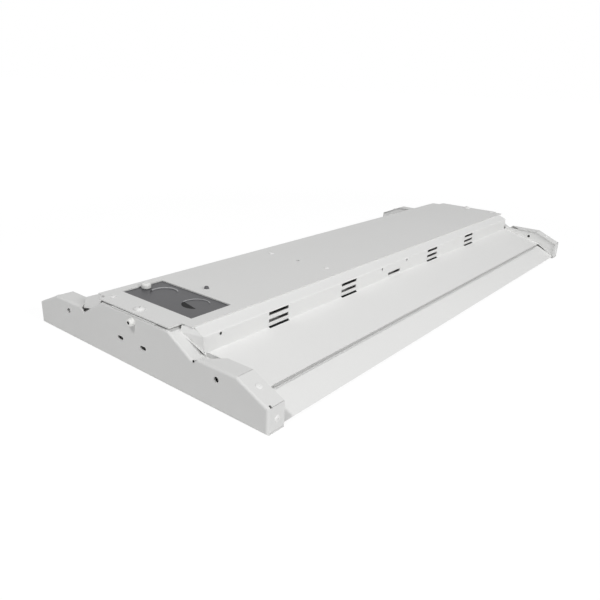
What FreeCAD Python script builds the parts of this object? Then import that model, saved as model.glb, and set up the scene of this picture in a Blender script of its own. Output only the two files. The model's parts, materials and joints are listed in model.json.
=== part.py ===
import FreeCAD, Part

import os
import re

import Sketcher

# LED high bay light: a folded steel fixture about 600 mm long. Millimetres, +Z up,
# origin at the middle of the underside, length along Y, the access end at -Y.

doc = FreeCAD.newDocument("HighBayLight")
sizes = doc.addObject("Spreadsheet::Sheet", "Sizes")

driving = {
    # whole fixture and its sheet metal
    "overall_length": 600,
    "overall_width": 272,
    "skin": 1.0,
    "bend_radius": 1.2,
    "fit_gap": 0.3,
    # end plates: stepped outline with flanges turned inwards
    "plate_side_height": 19.5,
    "shoulder_half_width": 108,
    "shoulder_height": 32,
    "valley_half_width": 66,
    "valley_height": 28.8,
    "shoulder_start": 70.5,
    "plateau_half_width": 40,
    "plateau_height": 44,
    "flange_depth": 16,
    "plate_bend_radius": 2.0,
    "slope_flange_depth": 11,
    "flange_mitre": 15,
    "slit_width": 0.3,
    "relief_size": 1.8,
    "wing_hole_offset": 89.5,
    "wing_hole_height": 23.5,
    "wing_hole_diameter": 4.5,
    "hang_slot_left": 17,
    "hang_slot_right": 11,
    "hang_slot_height": 21,
    "hang_slot_length": 7,
    "hang_slot_width": 3.2,
    # driver channel and wings
    "wall_half_width": 62.5,
    "wall_top_height": 41.8,
    "wall_foot_height": 28.3,
    "lip_half_width": 52.5,
    "lip_height": 46,
    "lip_width": 6.5,
    "channel_inset": 14,
    "crease_half_width": 113,
    "crease_height": 16.3,
    "crease_gap": 2.4,
    "wing_inset": 7,
    "rail_edge_height": 2.5,
    "rail_lap": 10,
    "rail_lip": 12,
    "rail_tab_height": 13,
    "wall_hole_diameter": 2.6,
    "wall_hole_height": 39.4,
    # ventilation slots in both channel walls
    "vent_length": 24,
    "vent_height": 2.8,
    "vent_top_height": 39.5,
    "vent_pitch": 6,
    "vent_first": 82.5,
    "vent_second": 182,
    "vent_middle": 265,
    "vent_third": 349.5,
    "vent_fourth": 449,
    "vent_middle_height": 31.7,
    "wall_hole_first": 30.4,
    "wall_hole_second": 252.5,
    "wall_hole_third": 302.3,
    # channel ends under the plateau flanges
    "end_tongue_half_width": 26,
    "end_tab_width": 12,
    "end_tab_bottom": 31,
    "end_tab_height": 9,
    # top cover
    "cover_tongue_half_width": 42,
    "cover_corner_length": 12,
    "cover_notch_length": 6,
    "window_length": 40.5,
    "window_width": 84,
    "window_start": 22,
    "window_middle": -1.5,
    "eyelet_inset": 74,
    "eyelet_diameter": 4.6,
    "eyelet_height": 0.5,
    "eyelet_wall": 0.8,
    "strap_inset": 194.5,
    "strap_hole_diameter": 4,
    "strap_half_width": 50,
    "strap_width": 14,
    "strap_flange": 6,
    "strap_rivet_offset": 35,
    # access plate with its two knockouts
    "access_border": 2,
    "access_thickness": 2,
    "knockout_diameter": 22.2,
    "knockout_middle": 2,
    "knockout_offset": 18.5,
    "knockout_depth": 0.8,
    "knockout_clearance": 0.5,
    "slug_thickness": 1.0,
    "slug_tie_width": 2,
    "slug_tilt": 7,
    # push-in fastener of the access plate and the bushings of the end plates
    "button_diameter": 8,
    "button_height": 4.6,
    "button_inset": 5,
    "button_dome": 1,
    "bushing_diameter": 6.2,
    "bushing_length": 4,
    "bushing_height": 39.4,
    "bushing_slot": 1.4,
    "bushing_slot_depth": 2,
    # light-emitting side
    "tray_lap": 13,
    "board_width": 23,
    "board_length": 560,
    "board_thickness": 1.6,
    "board_start": 18,
    "led_size": 3,
    "led_thickness": 0.7,
    "led_pitch": 46,
    "led_row_offset": 6,
    "lens_thickness": 2,
    # parts inside the driver channel
    "driver_length": 240,
    "driver_width": 58,
    "driver_height": 15,
    "driver_foot": 12,
    "driver_foot_thickness": 1.5,
    "terminal_length": 18,
    "terminal_width": 34,
    "terminal_height": 13,
    "terminal_inset": 96,
    "ground_inset": 150,
    "lead_diameter": 2.2,
    "lead_spacing": 9,
    "lead_height": 35,
    # fasteners
    "screw_head_diameter": 8,
    "screw_head_height": 2.4,
    "screw_shank_diameter": 3.6,
    "screw_length": 6,
    "cover_screw_inset": 7,
    "cover_rivet_inset": 9.5,
    "cover_rivet_offset": 37.5,
    "small_head_diameter": 5,
    "small_head_height": 1.4,
    "small_shank_diameter": 2.4,
    "rivet_head_diameter": 5,
    "rivet_head_height": 0.9,
    "rivet_length": 3,
    "cover_rivet_length": 5,
    "rivet_inset": 9,
    "side_rivet_height": 9.3,
    "slope_rivet_offset": 120,
    "end_screw_offset": 56,
    "end_screw_height": 37.5,
}

for row, (alias, number) in enumerate(driving.items(), start=1):
    sizes.set(f"A{row}", alias)
    sizes.set(f"B{row}", str(number))
    sizes.setAlias(f"B{row}", alias)
doc.recompute()


def bound(formula):
    """Write a formula of size names so that it reads the cells of the sheet."""
    return re.sub(r"[a-z_]{3,}", lambda m: f"Sizes.{m[0]}" if m[0] in driving else m[0], formula)


def value(formula):
    return float(sizes.evalExpression(bound(formula)))


def bind(item, **formulas):
    for path, formula in formulas.items():
        item.setExpression(path.replace("__", "."), bound(formula))


def finished(item, label):
    """Give a sub-part its own label, which also names its file."""
    item.Label = label
    nodes.append(item)
    return item


nodes = []

front_view = FreeCAD.Rotation(FreeCAD.Vector(1, 0, 0), 90)
side_view = FreeCAD.Rotation(FreeCAD.Vector(1, 1, 1), 120)


def add_lines(sketch, points, closed):
    """Draw straight lines through points whose coordinates stay tied to the sizes."""
    places = [FreeCAD.Vector(value(x), value(y), 0) for x, y in points]
    ends = places[1:] + places[:1] if closed else places[1:]
    first = sketch.GeometryCount
    for start, end in zip(places, ends):
        sketch.addGeometry(Part.LineSegment(start, end))
    last = sketch.GeometryCount - 1
    for line in range(first, last):
        sketch.addConstraint(Sketcher.Constraint("Coincident", line, 2, line + 1, 1))
    if closed:
        sketch.addConstraint(Sketcher.Constraint("Coincident", last, 2, first, 1))
    for index, (point, place) in enumerate(zip(points, places)):
        line, end = (first + index, 1) if first + index <= last else (last, 2)
        fix_point(sketch, line, end, point, place)


def fix_point(sketch, geometry, end, point, place):
    for kind, formula, now in zip(("DistanceX", "DistanceY"), point, (place.x, place.y)):
        row = sketch.addConstraint(Sketcher.Constraint(kind, -1, 1, geometry, end, now))
        sketch.setExpression(f"Constraints[{row}]", bound(formula))


def add_circle(sketch, x, y, diameter):
    place = FreeCAD.Vector(value(x), value(y), 0)
    circle = sketch.addGeometry(Part.Circle(place, FreeCAD.Vector(0, 0, 1), value(diameter) / 2))
    fix_point(sketch, circle, 3, (x, y), place)
    row = sketch.addConstraint(Sketcher.Constraint("Diameter", circle, value(diameter)))
    sketch.setExpression(f"Constraints[{row}]", bound(diameter))


def free_sketch(name, view, points, closed=True):
    """A sketch in a view through the origin, for extrusions and turned pieces."""
    sketch = doc.addObject("Sketcher::SketchObject", name)
    sketch.Placement = FreeCAD.Placement(FreeCAD.Vector(), view)
    add_lines(sketch, points, closed)
    return sketch


def body_sketch(body, name, role, offset="0"):
    """A sketch on one of the body's own planes, moved along the plane's normal."""
    plane = next(item for item in body.Origin.OriginFeatures if item.Role == role)
    sketch = body.newObject("Sketcher::SketchObject", name)
    sketch.AttachmentSupport = (plane, [""])
    sketch.MapMode = "FlatFace"
    bind(sketch, AttachmentOffset__Base__z=offset)
    return sketch


def pad(body, sketch, length, reverse=False):
    feature = body.newObject("PartDesign::Pad", "Pad")
    feature.Profile = sketch
    feature.Reversed = reverse
    bind(feature, Length=length)
    sketch.Visibility = False
    return feature


def pocket(body, sketch, length, reverse=False):
    """Cut a sketch into the body and make sure that it takes material away."""
    doc.recompute()
    before = body.Shape.Volume
    feature = body.newObject("PartDesign::Pocket", "Pocket")
    feature.Profile = sketch
    feature.Reversed = reverse
    bind(feature, Length=length)
    doc.recompute()
    if not body.Shape.Volume < before:
        raise ValueError(f"{feature.Label} of {body.Label} cuts nothing")
    return feature


def block(name, x, y, z, dx, dy, dz):
    """A box from its lowest corner and its three sizes."""
    box = doc.addObject("Part::Box", name)
    bind(box, Placement__Base__x=x, Placement__Base__y=y, Placement__Base__z=z)
    bind(box, Length=dx, Width=dy, Height=dz)
    return box


axis_turns = {
    "x": FreeCAD.Rotation(FreeCAD.Vector(0, 1, 0), 90),
    "y": FreeCAD.Rotation(FreeCAD.Vector(1, 0, 0), -90),
    "z": FreeCAD.Rotation(),
}


def rod(name, axis, x, y, z, diameter, length):
    """A cylinder that starts at a point and runs along an axis."""
    cylinder = doc.addObject("Part::Cylinder", name)
    cylinder.Placement = FreeCAD.Placement(FreeCAD.Vector(), axis_turns[axis])
    bind(cylinder, Placement__Base__x=x, Placement__Base__y=y, Placement__Base__z=z)
    bind(cylinder, Radius=f"({diameter}) / 2", Height=length)
    return cylinder


# Holes, stems and leads out of sight have few sides, which keeps the model light.
hidden_sides = 8


def hidden_rod(name, axis, x, y, z, diameter, length):
    prism = doc.addObject("Part::Prism", name)
    prism.Polygon = hidden_sides
    prism.Placement = FreeCAD.Placement(FreeCAD.Vector(), axis_turns[axis])
    bind(prism, Placement__Base__x=x, Placement__Base__y=y, Placement__Base__z=z)
    bind(prism, Circumradius=f"({diameter}) / 2", Height=length)
    return prism


def extruded(name, profile, length, direction, symmetric=True):
    solid = doc.addObject("Part::Extrusion", name)
    solid.Base = profile
    solid.DirMode = "Custom"
    solid.Dir = direction
    solid.Solid = True
    solid.Symmetric = symmetric
    bind(solid, LengthFwd=length)
    return solid


def bend_line(name, view, points, sharp_corners):
    """An open line with a bend at each corner: wider where the line is the bend's outside."""
    sketch = free_sketch(name, view, [], closed=False)
    places = [FreeCAD.Vector(value(x), value(y), 0) for x, y in points]
    for start, end in zip(places, places[1:]):
        sketch.addGeometry(Part.LineSegment(start, end))
    last = len(places) - 1
    fixed = {0: (0, 1), last: (last - 1, 2)}
    radii = {}
    for corner in range(1, last):
        sketch.addConstraint(Sketcher.Constraint("Coincident", corner - 1, 2, corner, 1))
        fixed[corner] = (corner - 1, 2)
    for corner in set(range(1, last)) - set(sharp_corners):
        turn = (places[corner] - places[corner - 1]).cross(places[corner + 1] - places[corner])
        radius = "bend_radius" if turn.z < 0 else "bend_radius - skin"
        sketch.fillet(corner - 1, 2, value(radius), True, True)
        fixed[corner] = (sketch.GeometryCount - 1, 1)
        radii[sketch.GeometryCount - 2] = radius
    for corner, (geometry, end) in fixed.items():
        fix_point(sketch, geometry, end, points[corner], places[corner])
    for arc, radius in radii.items():
        row = sketch.addConstraint(Sketcher.Constraint("Radius", arc, value(radius)))
        sketch.setExpression(f"Constraints[{row}]", bound(radius))
    return sketch


def folded(
    name, points, length, view=front_view, direction=FreeCAD.Vector(0, 1, 0), side="-skin", sharp=()
):
    """Sheet metal: an open line along its outer face, thickened by the skin and extruded."""
    line = bend_line(f"{name}Line", view, points, sharp)
    section = doc.addObject("Part::Offset2D", f"{name}Section")
    section.Source = line
    section.Mode = "Skin"
    section.Join = "Arc"
    section.Fill = True
    bind(section, Value=side)
    return extruded(f"{name}Sheet", section, length, direction)


def compound(name, items):
    group = doc.addObject("Part::Compound", name)
    group.Links = items
    return group


def cut(name, base, tools):
    result = doc.addObject("Part::Cut", name)
    result.Base = base
    result.Tool = compound(f"{name}Tools", tools)
    return result


def fused(name, items):
    result = doc.addObject("Part::MultiFuse", name)
    result.Shapes = items
    return result


def mirrored(name, item, normal):
    result = doc.addObject("Part::Mirroring", name)
    result.Source = item
    result.Normal = normal
    return result


across = FreeCAD.Vector(1, 0, 0)
along = FreeCAD.Vector(0, 1, 0)
upward = FreeCAD.Vector(0, 0, 1)

# The front end lies at -Y. Each rear piece is its front one turned half round.

front_y = "-overall_length / 2"
inner_length = "(overall_length - 2 * skin - 2 * fit_gap)"

# Lengths of the tools that cut one sheet, and a sheet with its bend.
through = "3 * skin"
past_bend = "4 * skin"

plate_profile = [
    ("-overall_width / 2", "0"),
    ("overall_width / 2", "0"),
    ("overall_width / 2", "plate_side_height"),
    ("shoulder_half_width", "shoulder_height"),
    ("shoulder_start", "shoulder_height"),
    ("valley_half_width", "valley_height"),
    ("plateau_half_width", "plateau_height"),
    ("-plateau_half_width", "plateau_height"),
    ("-valley_half_width", "valley_height"),
    ("-shoulder_start", "shoulder_height"),
    ("-shoulder_half_width", "shoulder_height"),
    ("-overall_width / 2", "plate_side_height"),
]


def turned(label, item):
    """The same piece at the other end, turned half round the vertical axis."""
    copy = doc.addObject("App::Link", f"{label}Turned")
    copy.LinkedObject = item
    copy.Placement = FreeCAD.Placement(FreeCAD.Vector(), FreeCAD.Rotation(upward, 180))
    return finished(compound(f"{label}Group", [copy]), label)


# Two coordinates closer than this are taken as one.
same_place = 0.01


def front_edges_rounded(name, profile, start, end, radius):
    """A plate outline as a block whose edges round its outward face are rounded."""
    solid = extruded(f"{name}Block", profile, f"({end}) - ({start})", along, symmetric=False)
    bind(solid, Placement__Base__y=start)
    doc.recompute()
    face_y = value(start)
    bends = doc.addObject("Part::Fillet", f"{name}Bends")
    bends.Base = solid
    bends.Edges = [
        (index, value(radius), value(radius))
        for index, edge in enumerate(solid.Shape.Edges, start=1)
        if abs(edge.BoundBox.YMax - face_y) < same_place
    ]
    return bends


slope_angle = (
    "atan((shoulder_height - plate_side_height) / (overall_width / 2 - shoulder_half_width))"
)
slope_drop = f"(slope_rivet_offset - shoulder_half_width) * tan({slope_angle})"
slope_height = f"(shoulder_height - {slope_drop})"

plate_outline = free_sketch("PlateOutline", front_view, plate_profile)
plate_inside = doc.addObject("Part::Offset2D", "PlateInside")
plate_inside.Source = plate_outline
plate_inside.Join = "Intersection"
bind(plate_inside, Value="-skin")
plate_outer = front_edges_rounded(
    "PlateOuter", plate_outline, front_y, f"{front_y} + flange_depth", "plate_bend_radius"
)
plate_hollow = front_edges_rounded(
    "PlateHollow", plate_inside, f"{front_y} + skin", f"{front_y} + 2 * flange_depth",
    "plate_bend_radius - skin",
)

flange_y = f"{front_y} + plate_bend_radius"
wall_y = f"{front_y} + channel_inset"
past_flange = "flange_depth"
valley_width = "(shoulder_start - valley_half_width)"
slope_run = "(valley_half_width - plateau_half_width)"


def shoulder_mitre(side):
    """The shoulder flange is cut back along a slant, so that it clears the valley."""
    mitre_end = f"{front_y} + flange_depth + skin"
    outline = free_sketch(
        "ShoulderMitreOutline",
        FreeCAD.Rotation(),
        [
            (f"{side} * (shoulder_start - skin)", flange_y),
            (f"{side} * shoulder_start", flange_y),
            (f"{side} * (shoulder_start + flange_mitre)", mitre_end),
            (f"{side} * (shoulder_start - skin)", mitre_end),
        ],
    )
    wedge = extruded("ShoulderMitre", outline, past_bend, upward, symmetric=False)
    bind(wedge, Placement__Base__z="shoulder_height - 2 * skin")
    return wedge


plate_cuts = [
    plate_hollow,
    block(
        "InnerFlangeTrim",
        "-valley_half_width", wall_y, "valley_height - 2 * skin",
        "2 * valley_half_width", past_flange, "plateau_height",
    ),
    hidden_rod("BushingHole", "y", "0", f"{front_y} - skin", "bushing_height",
               "small_shank_diameter", through),
    hidden_rod("PlateScrewHole", "z", "0", f"{front_y} + cover_screw_inset",
               "plateau_height - 2 * skin", "screw_shank_diameter", through),
    hidden_rod("PlateRivetHole", "z", "-cover_rivet_offset", f"{front_y} + cover_rivet_inset",
               "plateau_height - 2 * skin", "small_shank_diameter", through),
]
for side in (-1, 1):
    plate_cuts += [
        block(
            "ValleyOpening",
            f"{side} * (valley_half_width + shoulder_start) / 2 - {valley_width} / 2",
            f"{front_y} + skin", "valley_height - 2 * skin",
            valley_width, past_flange, "shoulder_height",
        ),
        block(
            "ValleyRelief",
            f"{side} * (valley_half_width + relief_size / 2) - relief_size / 2",
            f"{front_y} - skin", "valley_height", "relief_size", through, "relief_size",
        ),
        block(
            "SlopeFlangeTrim",
            f"{side} * (plateau_half_width + valley_half_width) / 2 - {slope_run} / 2",
            f"{front_y} + slope_flange_depth", "valley_height - 2 * skin",
            slope_run, past_flange, "plateau_height",
        ),
        shoulder_mitre(side),
        block(
            "ShoulderSlit",
            f"{side} * shoulder_half_width - slit_width / 2", flange_y, "shoulder_height - 3 * skin",
            "slit_width", past_flange, past_bend,
        ),
        block(
            "CornerSlit",
            f"{side} * (overall_width / 2 - skin) - 2 * skin", flange_y,
            "plate_side_height - slit_width / 2", past_bend, past_flange, "slit_width",
        ),
        block(
            "CornerRelief",
            f"{side} * (overall_width / 2 - skin) - 2 * skin", f"{flange_y} + skin / 2",
            "plate_side_height - relief_size / 2", past_bend, "relief_size", "relief_size",
        ),
        block(
            "FootSlit",
            f"{side} * (overall_width / 2 - skin) - 2 * skin", flange_y, "skin",
            past_bend, past_flange, "slit_width",
        ),
        rod("WingHole", "y", f"{side} * wing_hole_offset", f"{front_y} - skin", "wing_hole_height",
            "wing_hole_diameter", through),
        hidden_rod("SideRivetHole", "x", f"{side} * (overall_width / 2 - skin) - 2 * skin",
                   f"{front_y} + rivet_inset", "side_rivet_height", "small_shank_diameter",
                   past_bend),
    ]
    slope_hole = hidden_rod(
        "SlopeRivetHole", "z", f"{side} * (slope_rivet_offset - 2 * skin * sin({slope_angle}))",
        f"{front_y} + rivet_inset", f"{slope_height} - 2 * skin * cos({slope_angle})",
        "small_shank_diameter", past_bend,
    )
    slope_hole.Placement.Rotation = FreeCAD.Rotation(along * side, value(slope_angle))
    bind(slope_hole, Placement__Rotation__Angle=slope_angle)
    plate_cuts.append(slope_hole)
for place in ("-hang_slot_left", "hang_slot_right"):
    straight = "(hang_slot_length - hang_slot_width)"
    plate_cuts.append(
        block(
            "HangSlot",
            f"{place} - {straight} / 2", f"{front_y} - skin", "hang_slot_height - hang_slot_width / 2",
            straight, through, "hang_slot_width",
        )
    )
    for end in (-1, 1):
        plate_cuts.append(
            rod("HangSlotEnd", "y", f"{place} + {end} * {straight} / 2", f"{front_y} - skin",
                "hang_slot_height", "hang_slot_width", through)
        )

end_plate = finished(cut("EndPlate", plate_outer, plate_cuts), "end_plate_front")
turned("end_plate_rear", end_plate)

# Channel walls and wings: one folded sheet on each side, from the lip under the cover
# down the sloped shoulder and the wall, then out along the wing to the crease.

wing_run = "(crease_half_width - wall_half_width)"
wing_fall = "(wall_foot_height - crease_height)"
wing_length = f"sqrt({wing_run} ^ 2 + {wing_fall} ^ 2)"
wing_angle = f"atan({wing_fall} / {wing_run})"


def wing_point(distance, depth):
    """A point at a distance from the foot of the wall, at a depth under the wing's face."""
    return (
        f"wall_half_width + ({distance}) * cos({wing_angle}) - ({depth}) * sin({wing_angle})",
        f"wall_foot_height - ({distance}) * sin({wing_angle}) - ({depth}) * cos({wing_angle})",
    )


housing_sheet = folded(
    "Housing",
    [
        ("lip_half_width - lip_width", "lip_height"),
        ("lip_half_width", "lip_height"),
        ("wall_half_width", "wall_top_height"),
        ("wall_half_width", "wall_foot_height"),
        wing_point(wing_length, "0"),
    ],
    inner_length,
)

wall_inside = "(wall_half_width - skin)"
housing_ends = []
for end in (-1, 1):
    middle = f"{end} * (overall_length - channel_inset) / 2"
    housing_ends.append(
        block(
            "HousingEndTrim",
            "lip_half_width - 2 * lip_width", f"{middle} - channel_inset / 2", "wall_foot_height",
            "wall_half_width - lip_half_width + 2 * lip_width + skin / 2", "channel_inset", "lip_height",
        )
    )
    wing_end = f"{end} * (overall_length - wing_inset) / 2"
    housing_ends.append(
        block(
            "WingEndTrim",
            "lip_half_width", f"{wing_end} - wing_inset / 2", "rail_edge_height",
            "crease_half_width", "wing_inset", "wall_foot_height",
        )
    )

vent_rows = [f"vent_top_height - {row} * vent_pitch" for row in range(3)]
vents = [
    (start, height)
    for start in ("vent_first", "vent_second", "vent_third", "vent_fourth")
    for height in vent_rows
]
vents.append(("vent_middle", "vent_middle_height"))
wall_cuts = [
    block("Vent", f"{wall_inside} - skin", f"{front_y} + {start}", f"{height} - vent_height / 2",
          through, "vent_length", "vent_height")
    for start, height in vents
]
for inset in ("wall_hole_first", "wall_hole_second", "wall_hole_third"):
    wall_cuts.append(
        rod("WallHole", "x", f"{wall_inside} - skin", f"{front_y} + {inset}", "wall_hole_height",
            "wall_hole_diameter", through)
    )

# A small tab at each end of a wall takes the screw of the channel's end.
end_tabs = []
tab_holes = []
for end in (-1, 1):
    middle = f"{end} * (overall_length / 2 - channel_inset - skin - skin / 2)"
    end_tabs.append(
        block("EndTab", f"{wall_inside} - end_tab_width", f"{middle} - skin / 2", "end_tab_bottom",
              "end_tab_width + skin / 2", "skin", "end_tab_height")
    )
    tab_holes.append(
        hidden_rod("EndTabHole", "y", "end_screw_offset", f"{middle} - 2 * skin",
                   "end_screw_height", "small_shank_diameter", past_bend)
    )

housing_blank = fused("HousingBlank", [cut("HousingTrimmed", housing_sheet, housing_ends), *end_tabs])
housing_right = finished(cut("HousingRight", housing_blank, wall_cuts + tab_holes), "housing_side_right")
finished(mirrored("HousingLeft", housing_right, across), "housing_side_left")

# Side rails: each starts under the edge of the wing, slopes down to the outer edge of the
# fixture and turns in to carry the lens.

rail_x = "(overall_width / 2 - skin)"
rail_depth = "skin + crease_gap"
rail_start = wing_point(f"{wing_length} + slit_width", rail_depth)
rail_sheet = folded(
    "Rail",
    [
        wing_point(f"{wing_length} - rail_lap", rail_depth),
        rail_start,
        (rail_x, "rail_edge_height"),
        (f"{rail_x} - rail_lip", "rail_edge_height"),
    ],
    inner_length,
    sharp=(2,),
)
rail_tabs = []
rail_holes = []
rail_tab_length = "(flange_depth - 3 * skin)"
for end in (-1, 1):
    middle = f"{end} * ({inner_length} / 2 - skin - {rail_tab_length} / 2)"
    rail_tabs.append(
        block("RailTab", f"{rail_x} - skin", f"{middle} - {rail_tab_length} / 2", "rail_edge_height",
              "skin", rail_tab_length, "rail_tab_height")
    )
    rail_holes.append(
        hidden_rod("RailTabHole", "x", f"{rail_x} - 2 * skin",
                   f"{end} * (overall_length / 2 - rivet_inset)", "side_rivet_height",
                   "small_shank_diameter", through)
    )
rail_right = finished(
    cut("RailRight", fused("RailBlank", [rail_sheet, *rail_tabs]), rail_holes), "side_rail_right"
)
finished(mirrored("RailLeft", rail_right, across), "side_rail_left")

# Ends of the driver channel, each with a tongue that lies on the plateau flange.

tray_top = "(wall_foot_height - skin)"
web_side = f"({wall_inside} - fit_gap)"
web_outline = free_sketch(
    "ChannelEndOutline",
    front_view,
    [
        (f"-{web_side}", tray_top),
        (web_side, tray_top),
        (web_side, "wall_top_height - skin"),
        ("lip_half_width - skin", "lip_height - skin"),
        ("-(lip_half_width - skin)", "lip_height - skin"),
        (f"-{web_side}", "wall_top_height - skin"),
    ],
)
web = extruded("ChannelWeb", web_outline, "skin", along, symmetric=False)
bind(web, Placement__Base__y=wall_y)
tongue = block(
    "ChannelTongue",
    "-end_tongue_half_width", f"{front_y} + fit_gap", "plateau_height",
    "2 * end_tongue_half_width", "channel_inset - fit_gap + skin / 2", "skin",
)
web_holes = [
    hidden_rod("TongueHole", "z", "0", f"{front_y} + cover_screw_inset", "plateau_height - skin",
               "screw_shank_diameter", through)
]
for side in (-1, 1):
    web_holes.append(
        hidden_rod("WebHole", "y", f"{side} * end_screw_offset", f"{wall_y} - skin",
                   "end_screw_height", "small_shank_diameter", through)
    )
channel_end = finished(
    cut("ChannelEnd", fused("ChannelEndBlank", [web, tongue]), web_holes), "channel_end_front"
)
turned("channel_end_rear", channel_end)

# Top cover: a flat sheet with cut-back corners, a window and its screw holes.

cover = doc.addObject("PartDesign::Body", "TopCover")
cover_outline = body_sketch(cover, "CoverOutline", "XY_Plane", "lip_height")
cover_end = "overall_length / 2"
cover_step = "overall_length / 2 - cover_corner_length"
cover_notch = "overall_length / 2 - cover_notch_length"
cover_points = [
    ("lip_half_width", f"-({cover_step})"),
    ("lip_half_width", cover_notch),
    ("cover_tongue_half_width", cover_notch),
    ("cover_tongue_half_width", cover_end),
    ("-cover_tongue_half_width", cover_end),
    ("-cover_tongue_half_width", cover_step),
    ("-lip_half_width", cover_step),
    ("-lip_half_width", f"-({cover_notch})"),
    ("-cover_tongue_half_width", f"-({cover_notch})"),
    ("-cover_tongue_half_width", f"-({cover_end})"),
    ("cover_tongue_half_width", f"-({cover_end})"),
    ("cover_tongue_half_width", f"-({cover_step})"),
]
add_lines(cover_outline, cover_points, closed=True)
pad(cover, cover_outline, "skin")
cover_openings = body_sketch(cover, "CoverOpenings", "XY_Plane", "lip_height + skin")
window_left = "(window_middle - window_width / 2)"
window_right = "(window_middle + window_width / 2)"
window_end = "(window_start + window_length)"
add_lines(
    cover_openings,
    [
        (window_left, f"{front_y} + window_start"),
        (window_right, f"{front_y} + window_start"),
        (window_right, f"{front_y} + {window_end}"),
        (window_left, f"{front_y} + {window_end}"),
    ],
    closed=True,
)
add_circle(cover_openings, "0", f"{front_y} + strap_inset", "strap_hole_diameter")
pocket(cover, cover_openings, "2 * skin")

eyelet_collar = rod("EyeletCollar", "z", "0", f"{front_y} + eyelet_inset", "lip_height",
                    "eyelet_diameter + 2 * eyelet_wall", "skin + eyelet_height")
cover_holes = [
    rod("EyeletHole", "z", "0", f"{front_y} + eyelet_inset", "lip_height - skin",
        "eyelet_diameter", "3 * skin + eyelet_height")
]
for side in (-1, 1):
    cover_holes += [
        hidden_rod("CoverHole", "z", x, y, "lip_height - skin", diameter, through)
        for x, y, diameter in (
            (f"{side} * strap_rivet_offset", f"{front_y} + strap_inset", "small_shank_diameter"),
            ("0", f"{side} * (overall_length / 2 - cover_screw_inset)", "screw_shank_diameter"),
            (f"{side} * cover_rivet_offset", f"{side} * (overall_length / 2 - cover_rivet_inset)",
             "small_shank_diameter"),
        )
    ]
finished(cut("CoverDrilled", fused("CoverCollared", [cover, eyelet_collar]), cover_holes), "top_cover")

# Strap across the channel that carries the middle of the cover.

strap_y = f"{front_y} + strap_inset"
strap_top = "lip_height - skin"
strap_sheet = folded(
    "Strap",
    [
        (f"{strap_y} - strap_width / 2", f"{strap_top} - strap_flange"),
        (f"{strap_y} - strap_width / 2", strap_top),
        (f"{strap_y} + strap_width / 2", strap_top),
        (f"{strap_y} + strap_width / 2", f"{strap_top} - strap_flange"),
    ],
    "2 * strap_half_width",
    view=side_view,
    direction=across,
    side="skin",
)
strap_holes = [
    hidden_rod("StrapHole", "z", f"{place} * strap_rivet_offset", strap_y, f"{strap_top} - 2 * skin",
               diameter, through)
    for place, diameter in (
        (-1, "small_shank_diameter"), (0, "strap_hole_diameter"), (1, "small_shank_diameter")
    )
]
finished(cut("CoverStrap", strap_sheet, strap_holes), "cover_strap")

# Access plate under the window, with one knockout closed and one pushed in.

access_y = f"{front_y} + window_start - access_border"
access_middle = f"{front_y} + window_start + window_length / 2"
access_top = "lip_height"
access_blank = block(
    "AccessBlank",
    f"{window_left} - access_border", access_y, f"{access_top} - access_thickness",
    "window_width + 2 * access_border", "window_length + 2 * access_border", "access_thickness",
)
button_x = f"{window_left} + button_inset"
closed_x = "knockout_middle - knockout_offset"
open_x = "knockout_middle + knockout_offset"
access_holes = [
    rod("KnockoutRecess", "z", closed_x, access_middle, f"{access_top} - knockout_depth",
        "knockout_diameter", "access_thickness"),
    rod("KnockoutOpening", "z", open_x, access_middle, f"{access_top} - 2 * access_thickness",
        "knockout_diameter", "3 * access_thickness"),
    hidden_rod("ButtonHole", "z", button_x, access_middle, f"{access_top} - 2 * access_thickness",
               "screw_shank_diameter", "3 * access_thickness"),
]
slug_radius = "(knockout_diameter / 2 - knockout_clearance)"
slug = rod("KnockoutSlug", "z", "0", "0", "0", f"2 * {slug_radius}", "slug_thickness")
slug.Placement = FreeCAD.Placement(FreeCAD.Vector(), FreeCAD.Rotation(across, value("slug_tilt")))
bind(
    slug,
    Placement__Base__x=open_x,
    Placement__Base__y=access_middle,
    Placement__Base__z=f"{access_top} - slug_thickness - {slug_radius} * sin(slug_tilt * 1 deg)",
    Placement__Rotation__Angle="slug_tilt",
)
slug_tie = block(
    "SlugTie",
    f"{open_x} - slug_tie_width / 2", f"{access_middle} + {slug_radius} - slug_thickness",
    f"{access_top} - knockout_clearance - slug_thickness",
    "slug_tie_width", "2 * knockout_clearance + slug_thickness", "slug_thickness",
)
closed_tie = block(
    "ClosedTie",
    f"{closed_x} - slug_tie_width / 2", f"{access_middle} + knockout_diameter / 2 - slug_thickness",
    f"{access_top} - knockout_depth", "slug_tie_width", "2 * slug_thickness", "knockout_depth",
)
access_drilled = cut("AccessDrilled", access_blank, access_holes)
finished(fused("AccessParts", [access_drilled, slug, slug_tie, closed_tie]), "access_plate")


def turned_profile(name, points, axis, x, y, z):
    """A round piece: its half section turned about its own axis and set in place."""
    section = free_sketch(f"{name}Section", front_view, points)
    solid = doc.addObject("Part::Revolution", f"{name}Turned")
    solid.Source = section
    solid.Axis = upward
    solid.Angle = 360
    solid.Solid = True
    place = doc.addObject("App::Link", f"{name}Place")
    place.LinkedObject = solid
    place.Placement = FreeCAD.Placement(FreeCAD.Vector(), axis)
    bind(place, Placement__Base__x=x, Placement__Base__y=y, Placement__Base__z=z)
    return compound(name, [place])


# White push-in button that holds the access plate, and the slotted bushings of the end plates.

stem_radius = "(screw_shank_diameter - fit_gap) / 2"
button = turned_profile(
    "AccessButton",
    [
        ("0", "-access_thickness - button_dome"),
        (stem_radius, "-access_thickness - button_dome"),
        (stem_radius, "0"),
        ("button_diameter / 2", "0"),
        ("button_diameter / 2", "button_height - button_dome"),
        ("button_diameter / 2 - button_dome", "button_height"),
        ("0", "button_height"),
    ],
    FreeCAD.Rotation(),
    button_x, access_middle, access_top,
)
finished(button, "access_button")

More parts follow.
